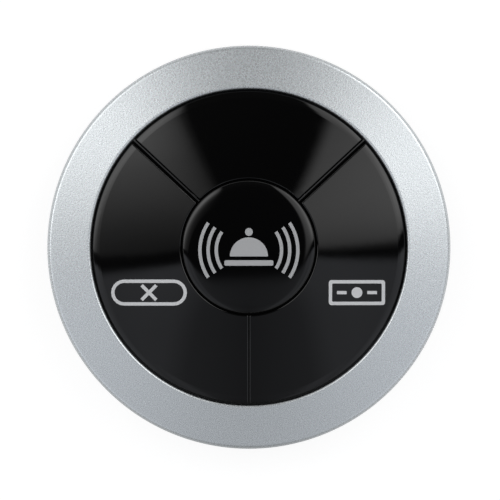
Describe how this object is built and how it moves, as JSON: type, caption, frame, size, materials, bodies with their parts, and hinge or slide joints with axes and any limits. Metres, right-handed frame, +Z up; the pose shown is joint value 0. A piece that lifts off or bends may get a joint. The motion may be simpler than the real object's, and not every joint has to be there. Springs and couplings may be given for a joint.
{
  "type": "waiter call button",
  "caption": "Round battery-powered table call button: silver bezel, domed black face with a round centre key, a key on each side and a fixed lamp panel, battery door underneath.",
  "frame": {"origin": "middle of the footprint, on the surface that the feet stand on", "axes": "+Z up out of the key face; +Y towards the fixed lamp panel, the top of the face as it is read; +X to the reader's right"},
  "size_m": [0.075, 0.075, 0.019],
  "materials": {
    "silver_paint": "silver metallic paint with a fine flake, satin, on a moulded ring",
    "gloss_black": "polished black, moulded",
    "smoked_black": "polished smoked black, passes a lamp's light",
    "housing_black": "fine spark-eroded black",
    "rubber_grey": "matt soft rubber",
    "screw_steel": "zinc-plated steel",
    "board_green": "glass-fibre board under green solder mask",
    "switch_plastic": "black nylon",
    "switch_steel": "tinned sheet steel",
    "lamp_red": "clear red epoxy",
    "chip_black": "moulded chip packages with tinned legs",
    "can_steel": "nickel-plated can",
    "capacitor_tan": "ceramic body with tinned ends",
    "resistor_black": "ceramic body with black glaze and tinned ends",
    "antenna_copper": "enamelled copper wire",
    "battery_jacket": "steel can in a plain printed jacket",
    "contact_steel": "nickel-plated spring steel"
  },
  "bodies": {
    "housing": {"bezel_ring": "silver_paint", "base_housing": "housing_black", "rubber_feet": "rubber_grey", "case_screws": "screw_steel", "upper_housing": "gloss_black", "top_panel": "smoked_black", "circuit_board": "board_green", "board_screws": "screw_steel", "switch_covers": "switch_steel", "switch_legs": "switch_steel", "indicator_led": "lamp_red", "encoder_chip": "chip_black", "rf_transistor": "chip_black", "saw_resonator": "can_steel", "capacitors": "capacitor_tan", "resistors": "resistor_black", "antenna_coil": "antenna_copper", "battery": "battery_jacket", "battery_plate": "contact_steel", "battery_spring": "contact_steel", "centre_switch_body": "switch_plastic", "left_switch_body": "switch_plastic", "right_switch_body": "switch_plastic"},
    "centre_key": {"centre_key": "gloss_black"},
    "left_key": {"left_key": "gloss_black"},
    "right_key": {"right_key": "gloss_black"},
    "centre_plunger": {"centre_switch_plunger": "switch_plastic"},
    "left_plunger": {"left_switch_plunger": "switch_plastic"},
    "right_plunger": {"right_switch_plunger": "switch_plastic"},
    "battery_door": {"battery_door": "housing_black"}
  },
  "joints": [
    {"name": "centre_key_press", "type": "slide", "parent": "housing", "child": "centre_key", "axis": [0, 0, -1], "range_m": [0, 0.0005], "stiffness_N_per_m": 2000, "springref_m": -0.0002},
    {"name": "centre_switch_press", "type": "slide", "parent": "housing", "child": "centre_plunger", "axis": [0, 0, -1], "range_m": [0, 0.0003]},
    {"name": "left_key_press", "type": "slide", "parent": "housing", "child": "left_key", "axis": [0, 0, -1], "range_m": [0, 0.0005], "stiffness_N_per_m": 2000, "springref_m": -0.0002},
    {"name": "left_switch_press", "type": "slide", "parent": "housing", "child": "left_plunger", "axis": [0, 0, -1], "range_m": [0, 0.0003]},
    {"name": "right_key_press", "type": "slide", "parent": "housing", "child": "right_key", "axis": [0, 0, -1], "range_m": [0, 0.0005], "stiffness_N_per_m": 2000, "springref_m": -0.0002},
    {"name": "right_switch_press", "type": "slide", "parent": "housing", "child": "right_plunger", "axis": [0, 0, -1], "range_m": [0, 0.0003]},
    {"name": "battery_door_hinge", "type": "hinge", "parent": "housing", "child": "battery_door", "pos_m": [-0.0159, -0.0192, 0.0019], "axis": [0, 1, 0], "range_deg": [0, 90]}
  ],
  "couplings": [
    {"joint": "centre_switch_press", "follows": "centre_key_press", "ratio": 0.6},
    {"joint": "left_switch_press", "follows": "left_key_press", "ratio": 0.6},
    {"joint": "right_switch_press", "follows": "right_key_press", "ratio": 0.6}
  ]
}
